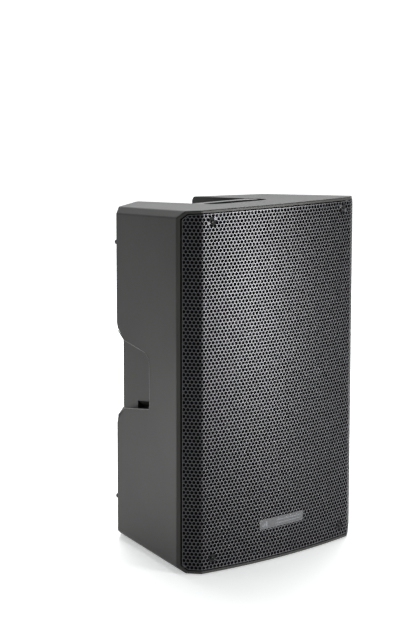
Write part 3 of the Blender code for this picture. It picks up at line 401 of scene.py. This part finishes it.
def make_grille():
    centres = [(run_at(x), z) for x, z in GRILLE_SCREWS]
    points, loops = [], []

    def loop(ring):
        start = len(points)
        points.extend(Vector(p) for p in ring)
        loops.append(list(range(start, start + len(ring))))

    outline = sheet_outline(SHEET_INSET)
    loop(outline)
    low_z = FOOT_PROUD + SHEET_INSET
    angles = [math.pi * (2 * k + 1) / 6 for k in range(6)]
    corners = [(HOLE * math.cos(a), HOLE * math.sin(a)) for a in angles]
    columns = int(MIDDLE_RUN / PITCH) + 1
    rows = int((HEIGHT - low_z) / ROW) + 1
    for j in range(rows):
        z = low_z + FIRST_ROW + j * ROW
        for i in range(-columns, columns + 1):
            s = (i + (0.5 if j % 2 else 0.0)) * PITCH
            if any(math.hypot(s - a, z - b) < DIMPLE_R + HOLE * 0.8 for a, b in centres):
                continue
            ring = clipped([(s + a, z + b) for a, b in corners], SHEET_INSET + HOLE_CLEAR)
            if len(ring) > 2 and area(ring) > LEAST_HOLE:
                loop(ring)
    for s, z in centres:
        turns = [math.tau * k / 16 for k in range(16)]
        loop([(s + SHANK_HOLE_R * math.cos(a), z + SHANK_HOLE_R * math.sin(a)) for a in turns])
    for s, z in centres:
        for share in (0.55, 0.70, 0.85, 1.0):
            for k in range(20):
                angle = math.tau * k / 20
                points.append(Vector((s + DIMPLE_R * share * math.cos(angle),
                                      z + DIMPLE_R * share * math.sin(angle))))

    flat, _, faces, _, _, origin = delaunay_2d_cdt([p * 1000 for p in points], [], loops, 1, 1e-5, True)
    flat = [p / 1000 for p in flat]
    kept = [f for f, o in zip(faces, origin) if o == [0]]
    count = len(flat)
    verts = []
    for layer in (0.0, SHEET_THICK):
        for p in flat:
            q = on_front(p.x, layer + dimple(p.x, p.y, centres))
            verts.append((q.x, q.y, p.y))
    used = {}
    made = []
    for f in kept:
        a, b, c = f
        made.append((a, b, c))
        made.append((c + count, b + count, a + count))
        for e in ((a, b), (b, c), (c, a)):
            used[e] = True
    for a, b in used:
        if (b, a) not in used:
            made.append((b, a, a + count, b + count))
    mesh = bpy.data.meshes.new("perforated_grille")
    mesh.from_pydata(verts, [], made)
    bm = bmesh.new()
    bm.from_mesh(mesh)
    bmesh.ops.delete(bm, geom=[v for v in bm.verts if not v.link_faces], context="VERTS")
    bmesh.ops.recalc_face_normals(bm, faces=bm.faces)
    bm.to_mesh(mesh)
    bm.free()
    grille = settle("perforated_grille", mesh, GRILLE_COAT)
    mesh.materials.append(GRILLE_PAINTED_SHADE)
    # the hole walls, the sheet's back and the sheet round each screw take the near-black material: painted
    # shade
    for face in mesh.polygons:
        from_screw = min(math.dist(face.center.xz, place) for place in GRILLE_SCREWS)
        if len(face.vertices) == 4 or face.normal.y > 0 or from_screw < SCREW_SHADE_R:
            face.material_index = 1
    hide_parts("front_grille")


# ---------------------------------------------------------------- small mesh tools
def bm_block(low, high):
    bm = bmesh.new()
    bmesh.ops.create_cube(bm, size=1)
    low, high = Vector(low), Vector(high)
    bmesh.ops.scale(bm, verts=bm.verts, vec=high - low)
    bmesh.ops.translate(bm, verts=bm.verts, vec=(low + high) / 2)
    return bm


def bm_turned(profile, centre, direction, steps=24, flutes=0, flute_deep=0.0):
    """A closed profile of (radius, height) turned round an axis; flutes ripple the marked radii."""
    turn = Vector((0, 0, 1)).rotation_difference(Vector(direction)).to_matrix().to_4x4()
    place = Matrix.Translation(Vector(centre)) @ turn
    bm = bmesh.new()
    rings = []
    for radius, height, *rippled in profile:
        if radius == 0:
            rings.append([bm.verts.new(place @ Vector((0, 0, height)))] * steps)
            continue
        ring = []
        for k in range(steps):
            angle = math.tau * k / steps
            r = radius
            if rippled and flutes:
                r -= flute_deep * (0.5 - 0.5 * math.cos(flutes * angle))
            ring.append(bm.verts.new(place @ Vector((r * math.cos(angle), r * math.sin(angle), height))))
        rings.append(ring)
    for near, far in zip(rings, rings[1:] + rings[:1]):
        for k in range(steps):
            n = (k + 1) % steps
            corners = []
            for vert in (near[k], near[n], far[n], far[k]):
                if vert not in corners:
                    corners.append(vert)
            if len(corners) > 2:
                bm.faces.new(corners)
    return bm


def rounded_rectangle(half_a, half_b, radius, steps=5):
    points = []
    for quarter, (sa, sb) in enumerate(((1, 1), (-1, 1), (-1, -1), (1, -1))):
        for k in range(steps + 1):
            angle = math.pi / 2 * (quarter + k / steps)
            points.append((
                sa * (half_a - radius) + radius * math.cos(angle),
                sb * (half_b - radius) + radius * math.sin(angle),
            ))
    return points


def bm_slab(outline, low, high, centre=(0, 0, 0)):
    """An outline in X and Z, extruded from y = low to y = high."""
    cx, cy, cz = centre
    bm = bmesh.new()
    near = [bm.verts.new((cx + a, cy + low, cz + b)) for a, b in outline]
    far = [bm.verts.new((cx + a, cy + high, cz + b)) for a, b in outline]
    bm.faces.new(near)
    bm.faces.new(far)
    for k in range(len(outline)):
        n = (k + 1) % len(outline)
        bm.faces.new((near[k], near[n], far[n], far[k]))
    return bm


def merged(parts):
    """Several meshes as one."""
    mesh = bpy.data.meshes.new("parts")
    whole = bmesh.new()
    for part in parts:
        part.to_mesh(mesh)
        whole.from_mesh(mesh)
        part.free()
    bpy.data.meshes.remove(mesh)
    return whole


def finished(name, bm, look, body="cabinet", cut=(), rounding=0.0, smooth=True, replaced=()):
    """Cuts, rounds and applies, then rides the piece on its body."""
    bmesh.ops.recalc_face_normals(bm, faces=bm.faces)
    mesh = bpy.data.meshes.new(name)
    bm.to_mesh(mesh)
    bm.free()
    if cut or rounding:
        rough = bpy.data.objects.new(name + "_rough", mesh)
        bpy.context.scene.collection.objects.link(rough)
        tools = []
        for k, tool in enumerate(cut):
            bmesh.ops.recalc_face_normals(tool, faces=tool.faces)
            tool_mesh = bpy.data.meshes.new("%s_tool_%d" % (name, k))
            tool.to_mesh(tool_mesh)
            tool.free()
            thing = bpy.data.objects.new(tool_mesh.name, tool_mesh)
            bpy.context.scene.collection.objects.link(thing)
            tools.append(thing)
            step = rough.modifiers.new("cut", "BOOLEAN")
            step.operation = "DIFFERENCE"
            step.solver = "EXACT"
            step.object = thing
        if rounding:
            step = rough.modifiers.new("round", "BEVEL")
            step.width = rounding
            step.segments = 2
            step.limit_method = "ANGLE"
            step.angle_limit = math.radians(40)
        bpy.context.view_layer.update()
        view = bpy.context.evaluated_depsgraph_get()
        made = bpy.data.meshes.new_from_object(rough.evaluated_get(view), depsgraph=view)
        for thing in [rough, *tools]:
            bpy.data.objects.remove(thing)
        mesh = made
        mesh.name = name
    piece = settle(name, mesh, look, body, smooth)
    if replaced:
        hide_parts(*replaced)
    return piece


# ---------------------------------------------------------------- screws
def make_screw(name, under, direction, head_r, long):
    """A pan-head machine screw with a cross recess and a threaded shank, its head starting at under."""
    direction = Vector(direction)
    profile = [(0, -long)]
    turns = int(long / 0.0014)
    for k in range(turns):
        profile += [(0.00155, -long + k * 0.0014), (0.0020, -long + k * 0.0014 + 0.0007)]
    profile += [(0.0020, 0.0), (head_r, 0.0), (head_r, 0.0007), (head_r * 0.93, 0.0013),
                (head_r * 0.75, 0.0019), (head_r * 0.42, 0.00225), (0, 0.00235)]
    head = bm_turned(profile, under, direction, 20)
    cuts = []
    across = head_r * 0.52
    for a, b in ((across, 0.00048), (0.00048, across)):
        low = Vector((-a, 0.0010, -b))
        high = Vector((a, 0.0040, b))
        tool = bm_block(low, high)
        turn = Vector((0, 1, 0)).rotation_difference(direction).to_matrix().to_4x4()
        bmesh.ops.transform(tool, matrix=Matrix.Translation(Vector(under)) @ turn, verts=tool.verts)
        cuts.append(tool)
    finished(name + "_head", head, SCREW, cut=cuts, replaced=[name])


def make_screws():
    for k, (x, z) in enumerate(GRILLE_SCREWS):
        p = on_front(run_at(x), DIMPLE_DEEP)
        make_screw("grille_screw_%d" % (k + 1), (x, p.y - 0.0001, z), (0, -1, 0), 0.0040, 0.036)
    for k in range(1, 5):
        low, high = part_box("amp_screw_%d" % k)
        under = ((low.x + high.x) / 2, high.y - 0.0024, (low.z + high.z) / 2)
        make_screw("amp_screw_%d" % k, under, (0, 1, 0), 0.0038, 0.007)


# ---------------------------------------------------------------- badge
def bow(bm):
    """Bends a flat slab, made in front of y = 0, onto the front's curve."""
    for x in range(-7, 8):
        bmesh.ops.bisect_plane(bm, geom=bm.verts[:] + bm.edges[:] + bm.faces[:], dist=1e-7,
                               plane_co=(x * 0.008, 0, 0), plane_no=(1, 0, 0))
    for vert in bm.verts:
        vert.co.y += FRONT_Y + FRONT_RADIUS - math.sqrt(FRONT_RADIUS ** 2 - vert.co.x ** 2)
    return bm


def make_badge():
    low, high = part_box("badge_plate")
    z = (low.z + high.z) / 2
    half_x, half_z = (high.x - low.x) / 2, (high.z - low.z) / 2
    face = -0.00125
    plate = bm_slab(rounded_rectangle(half_x, half_z, 0.0022), face, -0.0002, (0, 0, z))
    front = [e for e in plate.edges if all(v.co.y < face + 1e-6 for v in e.verts)]
    bmesh.ops.bevel(plate, geom=front, offset=0.0005, segments=2, affect="EDGES", profile=0.5)
    finished("badge_bowed", bow(plate), BADGE, replaced=["badge_plate"])
    bars = []
    left = -half_x + 0.0085
    for k, tall in enumerate((0.0036, 0.0066, 0.0096)):
        x = left + k * 0.0046
        bars.append(bm_slab(rounded_rectangle(0.0016, tall / 2, 0.0006), face - 0.00012, face + 0.0002,
                            (x, 0, z - 0.0048 + tall / 2)))
    for rise, wide in ((0.0030, 0.030), (-0.0030, 0.030)):
        bars.append(bm_slab(rounded_rectangle(wide, 0.0007, 0.0005), face - 0.00010, face + 0.0002,
                            (0.016, 0, z + rise)))
    finished("badge_level_mark", bow(merged(bars)), MARK, smooth=False)


# ---------------------------------------------------------------- rear panel
def middle_of(node):
    low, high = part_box(node)
    return (low + high) / 2


def make_knob(node, body):
    """A fluted knob with a printed pointer."""
    low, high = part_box(node)
    x, z = (low.x + high.x) / 2, (low.z + high.z) / 2
    base, tip = high.y - 0.0100, high.y
    profile = [(0, low.y - base), (0.0030, low.y - base), (0.0030, 0.0), (0.0083, 0.0), (0.0085, 0.0006),
               (0.0084, 0.0020), (0.0070, 0.0034), (0.0066, 0.0040, 1), (0.0063, 0.0088, 1),
               (0.0058, 0.0095), (0.0050, 0.0098), (0.0046, 0.0093), (0, 0.0091)]
    finished(node + "_cap", bm_turned(profile, (x, base, z), (0, 1, 0), 96, 24, 0.00045), KNOB, body,
             replaced=[node])
    line = merged([
        bm_block((x - 0.00040, tip - 0.00095, z + 0.0012), (x + 0.00040, tip - 0.0004, z + 0.0045)),
        bm_block((x - 0.00040, base + 0.0019, z + 0.0068), (x + 0.00040, base + 0.0023, z + 0.0083)),
    ])
    finished(node + "_pointer", line, PRINT, body, smooth=False)


def ring_of_marks(marks, x, z, face, radius, count=11, sweep=300):
    for k in range(count):
        angle = math.radians(-sweep / 2 + sweep * k / (count - 1))
        long = 0.0022 if k in (0, count // 2, count - 1) else 0.0014
        tick = bm_block((-0.00022, face - 0.0001, radius), (0.00022, face + 0.00008, radius + long))
        turn = Matrix.Translation((x, 0, z)) @ Matrix.Rotation(angle, 4, "Y")
        bmesh.ops.transform(tick, matrix=turn, verts=tick.verts)
        marks.append(tick)


def frame_mark(marks, x0, x1, z0, z1, face, wide=0.0004):
    for low, high in (((x0, z0), (x1, z0 + wide)), ((x0, z1 - wide), (x1, z1)),
                      ((x0, z0 + wide), (x0 + wide, z1 - wide)), ((x1 - wide, z0 + wide), (x1, z1 - wide))):
        marks.append(bm_block((low[0], face - 0.0001, low[1]), (high[0], face + 0.00008, high[1])))


def make_rear():
    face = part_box("amp_panel")[1].y
    knobs = [(node, middle_of(node)) for node in ("input_knob_1", "input_knob_2", "master_knob")]
    marks = []
    for node, p in knobs:
        make_knob(node, node)
        ring_of_marks(marks, p.x, p.z, face, 0.0102)
    frame_mark(marks, -0.0485, -0.0025, 0.4175, 0.5270, face)
    frame_mark(marks, 0.0025, 0.0485, 0.4175, 0.5270, face)
    frame_mark(marks, -0.0485, 0.0485, 0.2950, 0.4130, face)
    frame_mark(marks, -0.0485, 0.0485, 0.1665, 0.2250, face)
    finished("panel_print_marks", merged(marks), PRINT, smooth=False)

    for node in ("input_socket_1", "input_socket_2"):
        low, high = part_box(node)
        x, z = (low.x + high.x) / 2, (low.z + high.z) / 2
        front = high.y - 0.0012
        insert = bm_turned([(0, -0.008), (0.0092, -0.008), (0.0092, -0.0004), (0.0088, 0.0), (0, 0.0)],
                           (x, front, z), (0, 1, 0), 32)
        holes = [bm_turned([(0, -0.006), (0.0033, -0.006), (0.0033, 0.01), (0, 0.01)],
                           (x, front, z), (0, 1, 0), 24)]
        for angle in (90, 210, 330):
            a = math.radians(angle)
            place = (x + 0.0061 * math.cos(a), front, z + 0.0061 * math.sin(a))
            holes.append(bm_turned([(0, -0.006), (0.0013, -0.006), (0.0013, 0.01), (0, 0.01)],
                                   place, (0, 1, 0), 14))
        finished(node + "_insert", insert, SOCKET, cut=holes)
        sleeve = bm_turned([(0.0031, -0.0058), (0.00325, -0.0058), (0.00325, 0.0003), (0.0031, 0.0003)],
                           (x, front, z), (0, 1, 0), 24)
        finished(node + "_sleeve", sleeve, STEEL)

    p = middle_of("link_output")
    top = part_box("link_output")[1].y
    pins = []
    for angle in (90, 210, 330):
        a = math.radians(angle)
        pins.append(bm_turned(
            [(0, -0.017), (0.0011, -0.017), (0.0011, -0.0035), (0.0008, -0.0025), (0, -0.0021)],
            (p.x + 0.0048 * math.cos(a), top, p.z + 0.0048 * math.sin(a)), (0, 1, 0), 14))
    finished("link_output_pins", merged(pins), BRASS)

    low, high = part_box("power_inlet")
    x, z = (low.x + high.x) / 2, (low.z + high.z) / 2
    blades = []
    for dx, dz in ((-0.0070, 0.0020), (0.0070, 0.0020), (0.0, 0.0072)):
        blades.append(bm_block((x + dx - 0.0010, high.y - 0.0200, z + dz - 0.0020),
                               (x + dx + 0.0010, high.y - 0.0040, z + dz + 0.0020)))
    finished("power_inlet_pins", merged(blades), STEEL, rounding=0.0004)

    low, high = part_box("power_rocker")
    x, z = (low.x + high.x) / 2, (low.z + high.z) / 2
    bar = bm_block((x - 0.0004, high.y - 0.0013, z + 0.0050), (x + 0.0004, high.y - 0.0003, z + 0.0086))
    finished("power_rocker_mark", bar, PRINT, "power_rocker", smooth=False)

    low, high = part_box("fuse_drawer")
    x, z = (low.x + high.x) / 2, (low.z + high.z) / 2
    grip = bm_slab(rounded_rectangle(0.0050, 0.0012, 0.0008), -0.0002, 0.0006, (x, high.y, z))
    finished("fuse_drawer_grip", grip, SOCKET, "fuse_drawer")


def make_feet():
    for k in range(1, 5):
        node = "rubber_foot_%d" % k
        low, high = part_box(node)
        x, y = (low.x + high.x) / 2, (low.y + high.y) / 2
        tall = high.z - low.z
        profile = [(0, 0.0016), (0.0036, 0.0016), (0.0040, 0.0004), (0.0046, 0.0), (0.0112, 0.0),
                   (0.0124, 0.0004), (0.0131, 0.0013), (0.0134, 0.0024), (0.0134, tall), (0, tall)]
        pad = bm_turned(profile, (x, y, low.z), (0, 0, 1), 40)
        finished(node + "_pad", pad, RUBBER, replaced=[node])


# ---------------------------------------------------------------- softened edges
def eased(points, ease):
    """An open path with each inner corner replaced by a short curve."""
    path = [points[0]]
    for a, b, c in zip(points, points[1:], points[2:]):
        cut = min(ease, (a - b).length * 0.45, (c - b).length * 0.45)
        start, end = b + (a - b).normalized() * cut, b + (c - b).normalized() * cut
        for k in range(5):
            t = k / 4
            path.append(start * (1 - t) ** 2 + b * 2 * t * (1 - t) + end * t ** 2)
    path.append(points[-1])
    return path


def make_lip(name, points, radius, look, ease=0.006):
    """A fine rounded bead laid along an edge."""
    curve = bpy.data.curves.new(name, "CURVE")
    curve.dimensions = "3D"
    curve.bevel_depth = radius
    curve.bevel_resolution = 2
    curve.use_fill_caps = True
    path = eased([Vector(p) for p in points], ease)
    line = curve.splines.new("POLY")
    line.points.add(len(path) - 1)
    for k, p in enumerate(path):
        line.points[k].co = (*p, 1)
    rough = bpy.data.objects.new(name + "_path", curve)
    bpy.context.scene.collection.objects.link(rough)
    view = bpy.context.evaluated_depsgraph_get()
    mesh = bpy.data.meshes.new_from_object(rough.evaluated_get(view), depsgraph=view)
    bpy.data.objects.remove(rough)
    mesh.name = name
    settle(name, mesh, look)


def make_pocket_lips():
    """Along the mouth of each side pocket: run along the side from its rear corner, then height."""
    mouth = [(-0.005, 0.2635), (-0.0315, 0.2843), (-0.1386, 0.3056), (-0.1386, 0.4066), (-0.1213, 0.4177),
             (-0.0315, 0.4264), (-0.005, 0.4421)]
    rear = Vector((*SIDE_REAR, 0.0))
    along = (rear - Vector((*CORNER, 0.0))).normalized()
    for side, label in ((-1, "left"), (1, "right")):
        points = []
        for run, z in mouth:
            p = rear + along * run
            points.append((side * (p.x - LIP_SUNK), p.y, z))
        # the bead is coloured lighter than the shell: a painted highlight along the mouth's edge
        make_lip("pocket_lip_" + label, points, LIP_R, MOULDED_PAINTED_HIGHLIGHT)


make_grille()
make_pocket_lips()
make_screws()
make_badge()
make_rear()
make_feet()


# ---------------------------------------------------------------- floor, light and camera
def area_light(name, place, aim, size, power):
    data = bpy.data.lights.new(name, "AREA")
    data.shape = "RECTANGLE"
    data.size, data.size_y = size
    data.energy = power
    lamp = bpy.data.objects.new(name, data)
    bpy.context.scene.collection.objects.link(lamp)
    lamp.visible_camera = False
    lamp.location = place
    lamp.rotation_euler = (Vector(aim) - Vector(place)).to_track_quat("-Z", "Y").to_euler()


def make_floor():
    """A pale floor with a little light of its own, more of it far from the cabinet."""
    bm = bmesh.new()
    bmesh.ops.create_grid(bm, x_segments=8, y_segments=8, size=FLOOR_HALF)
    mesh = bpy.data.meshes.new("floor")
    bm.to_mesh(mesh)
    bm.free()
    made = bpy.data.materials.new("pale_floor")
    made.use_nodes = True
    tree = made.node_tree
    shader = tree.nodes["Principled BSDF"]
    shader.inputs["Roughness"].default_value = 0.55
    shader.inputs["Specular IOR Level"].default_value = 0.2
    noise = tree.nodes.new("ShaderNodeTexNoise")
    noise.inputs["Scale"].default_value = 3.0
    ramp = tree.nodes.new("ShaderNodeValToRGB")
    ramp.color_ramp.elements[0].color = (0.90, 0.91, 0.91, 1)
    ramp.color_ramp.elements[1].color = (0.93, 0.94, 0.94, 1)
    link(tree, noise.outputs["Fac"], ramp.inputs["Fac"])
    link(tree, ramp.outputs["Color"], shader.inputs["Base Color"])
    link(tree, ramp.outputs["Color"], shader.inputs["Emission Color"])
    place = tree.nodes.new("ShaderNodeTexCoord")
    away = tree.nodes.new("ShaderNodeVectorMath")
    away.operation = "LENGTH"
    link(tree, place.outputs["Object"], away.inputs[0])
    glow = tree.nodes.new("ShaderNodeMapRange")
    glow.inputs["From Min"].default_value = FLOOR_NEAR
    glow.inputs["From Max"].default_value = FLOOR_FAR
    glow.inputs["To Min"].default_value = GLOW_NEAR
    glow.inputs["To Max"].default_value = GLOW_FAR
    link(tree, away.outputs["Value"], glow.inputs["Value"])
    link(tree, glow.outputs["Result"], shader.inputs["Emission Strength"])
    mesh.materials.append(made)
    floor = bpy.data.objects.new("floor", mesh)
    bpy.context.scene.collection.objects.link(floor)


def make_world():
    """White to look at, and softer in front of the cabinet than behind it as a light."""
    world = bpy.data.worlds.new("studio")
    bpy.context.scene.world = world
    world.use_nodes = True
    tree = world.node_tree
    background = tree.nodes["Background"]
    place = tree.nodes.new("ShaderNodeTexCoord")
    facing = tree.nodes.new("ShaderNodeVectorMath")
    facing.operation = "DOT_PRODUCT"
    facing.inputs[1].default_value = SKY_BEHIND
    link(tree, place.outputs["Generated"], facing.inputs[0])
    depth = tree.nodes.new("ShaderNodeMapRange")
    depth.inputs["From Min"].default_value = 0.25
    depth.inputs["From Max"].default_value = 0.95
    depth.inputs["To Min"].default_value = SKY_DIM
    depth.inputs["To Max"].default_value = SKY_BRIGHT
    link(tree, facing.outputs["Value"], depth.inputs["Value"])
    path = tree.nodes.new("ShaderNodeLightPath")
    seen = tree.nodes.new("ShaderNodeMix")
    seen.data_type = "FLOAT"
    link(tree, path.outputs["Is Camera Ray"], seen.inputs["Factor"])
    link(tree, depth.outputs["Result"], seen.inputs["A"])
    seen.inputs["B"].default_value = SKY_SEEN
    link(tree, seen.outputs["Result"], background.inputs["Strength"])
    background.inputs["Color"].default_value = (0.98, 1.0, 1.0, 1)


def make_camera():
    data = bpy.data.cameras.new("camera")
    data.lens = LENS_MM
    data.sensor_width = 36.0
    data.shift_y = LENS_SHIFT
    data.clip_end = 500
    camera = bpy.data.objects.new("camera", data)
    bpy.context.scene.collection.objects.link(camera)
    level = math.cos(CAMERA_PITCH)
    look = Vector((math.sin(CAMERA_YAW) * level, math.cos(CAMERA_YAW) * level, -math.sin(CAMERA_PITCH)))
    turn = look.to_track_quat("-Z", "Y").to_matrix().to_4x4() @ Matrix.Rotation(CAMERA_ROLL, 4, "Z")
    camera.matrix_world = Matrix.Translation(CAMERA_PLACE) @ turn
    bpy.context.scene.camera = camera


make_floor()
make_world()
make_camera()
area_light("front_softbox", (0.87, -1.99, 0.22), (0.0, -0.2, 0.26), (0.70, 0.56), 76)
area_light("side_fill", (-0.80, 0.30, 0.11), (-0.21, -0.15, 0.14), (0.36, 0.14), 1.9)
area_light("top_softbox", (0.8, 1.2, 3.0), (0.0, 0.0, 0.3), (2.6, 2.6), 125)
bpy.context.scene.view_settings.view_transform = "Standard"
